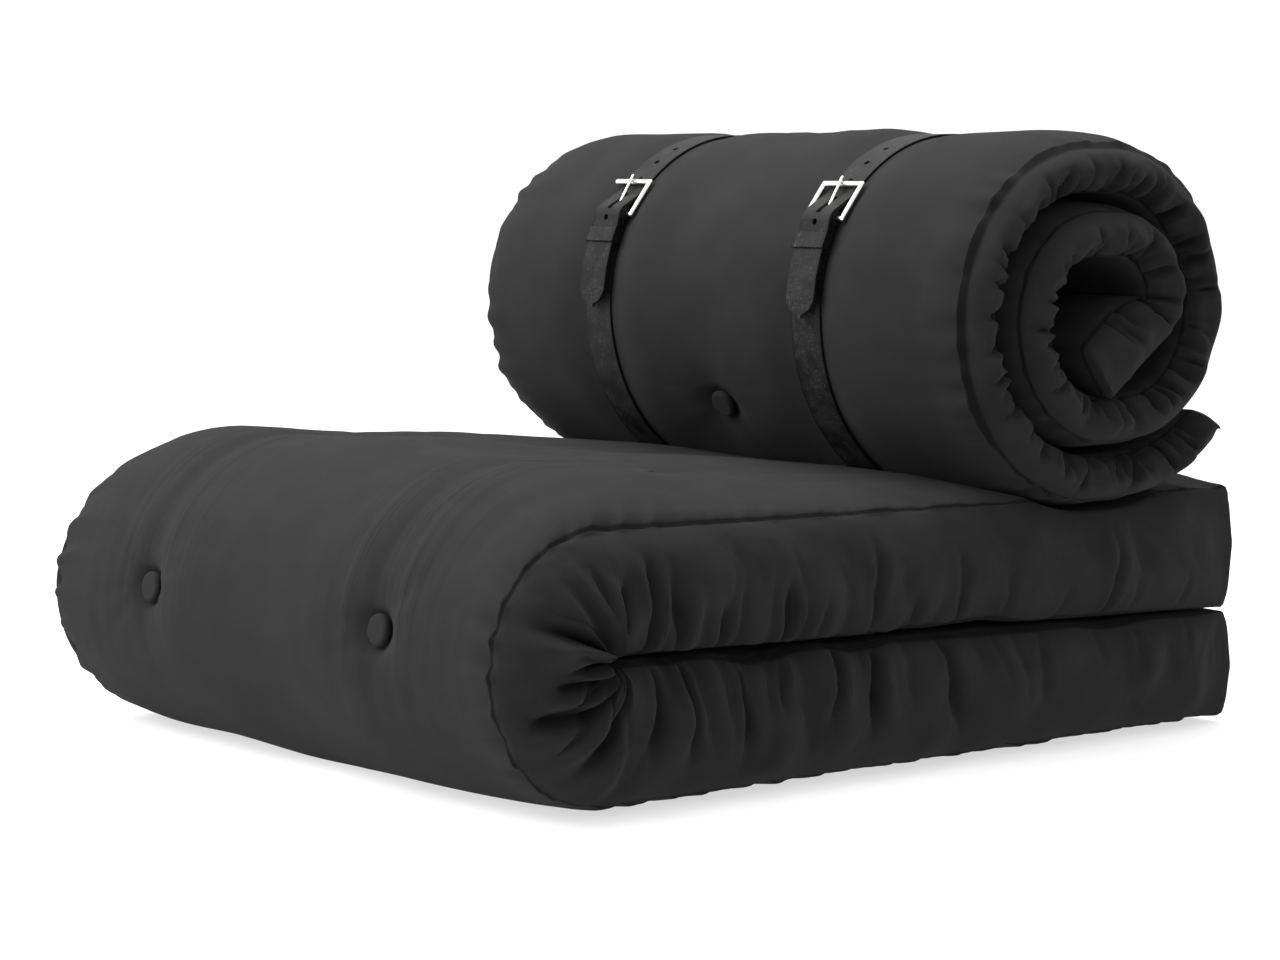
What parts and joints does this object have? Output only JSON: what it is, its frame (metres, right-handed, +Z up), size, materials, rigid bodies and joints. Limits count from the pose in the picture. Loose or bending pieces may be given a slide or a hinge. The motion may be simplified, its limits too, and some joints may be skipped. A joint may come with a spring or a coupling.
{
  "type": "futon mattress",
  "caption": "Folding futon lounge seat: a futon folded in half for the seat carries a rolled futon as the back, held by leather straps with buckles.",
  "frame": {"origin": "centre of the bounding box's bottom face, on the floor", "axes": "+Z up, the front fold faces -Y, +X is the side whose spiral end the picture shows"},
  "size_m": [0.748, 0.88, 0.5658],
  "materials": {
    "cover_cloth": "matte charcoal cotton twill",
    "cotton_batting": "loose cotton wadding",
    "foam": "open cell foam",
    "twine": "waxed tufting twine",
    "thread": "heavy sewing thread",
    "strap_leather": "dark brown leather, worn",
    "nickel": "bright nickel plate"
  },
  "bodies": {
    "seat_lower": {"seat_lower_batting": "cotton_batting", "seat_lower_border_left": "cover_cloth", "seat_lower_border_right": "cover_cloth", "seat_lower_cover": "cover_cloth", "seat_lower_foam_core": "foam", "seat_lower_tuft_buttons": "cover_cloth", "seat_lower_tuft_twine": "twine"},
    "seat_upper": {"seat_upper_batting": "cotton_batting", "seat_upper_border_left": "cover_cloth", "seat_upper_border_right": "cover_cloth", "seat_upper_cover": "cover_cloth", "seat_upper_foam_core": "foam", "seat_upper_tuft_buttons": "cover_cloth", "seat_upper_tuft_twine": "twine"},
    "back_roll": {"back_border_left": "cover_cloth", "back_border_right": "cover_cloth", "back_end_panels": "cover_cloth", "back_foam_core": "foam", "back_inner_batting": "cotton_batting", "back_inner_panel": "cover_cloth", "back_outer_batting": "cotton_batting", "back_outer_panel": "cover_cloth", "back_tuft_buttons": "cover_cloth", "back_tuft_twine": "twine", "strap_keeper_left": "strap_leather", "strap_keeper_right": "strap_leather", "strap_left": "strap_leather", "strap_right": "strap_leather", "strap_stitches_left": "thread", "strap_stitches_right": "thread"},
    "buckle_left": {"buckle_frame_left": "nickel"},
    "prong_left": {"buckle_prong_left": "nickel"},
    "buckle_right": {"buckle_frame_right": "nickel"},
    "prong_right": {"buckle_prong_right": "nickel"}
  },
  "joints": [
    {"name": "seat_fold", "type": "hinge", "parent": "seat_lower", "child": "seat_upper", "pos_m": [0, -0.441, 0.13], "axis": [1, 0, 0], "range_deg": [0, 30]},
    {"name": "roll_lift", "type": "slide", "parent": "seat_upper", "child": "back_roll", "axis": [0, 0, 1], "range_m": [0, 0.25]},
    {"name": "buckle_left_tilt", "type": "hinge", "parent": "back_roll", "child": "buckle_left", "pos_m": [-0.144, 0.08461, 0.4872], "axis": [1, 0, 0], "range_deg": [0, 15]},
    {"name": "buckle_right_tilt", "type": "hinge", "parent": "back_roll", "child": "buckle_right", "pos_m": [0.168, 0.08461, 0.4872], "axis": [1, 0, 0], "range_deg": [0, 15]},
    {"name": "prong_left_tilt", "type": "hinge", "parent": "buckle_left", "child": "prong_left", "pos_m": [-0.144, 0.08461, 0.4872], "axis": [1, 0, 0], "range_deg": [0, 15]},
    {"name": "prong_right_tilt", "type": "hinge", "parent": "buckle_right", "child": "prong_right", "pos_m": [0.168, 0.08461, 0.4872], "axis": [1, 0, 0], "range_deg": [0, 15]}
  ]
}
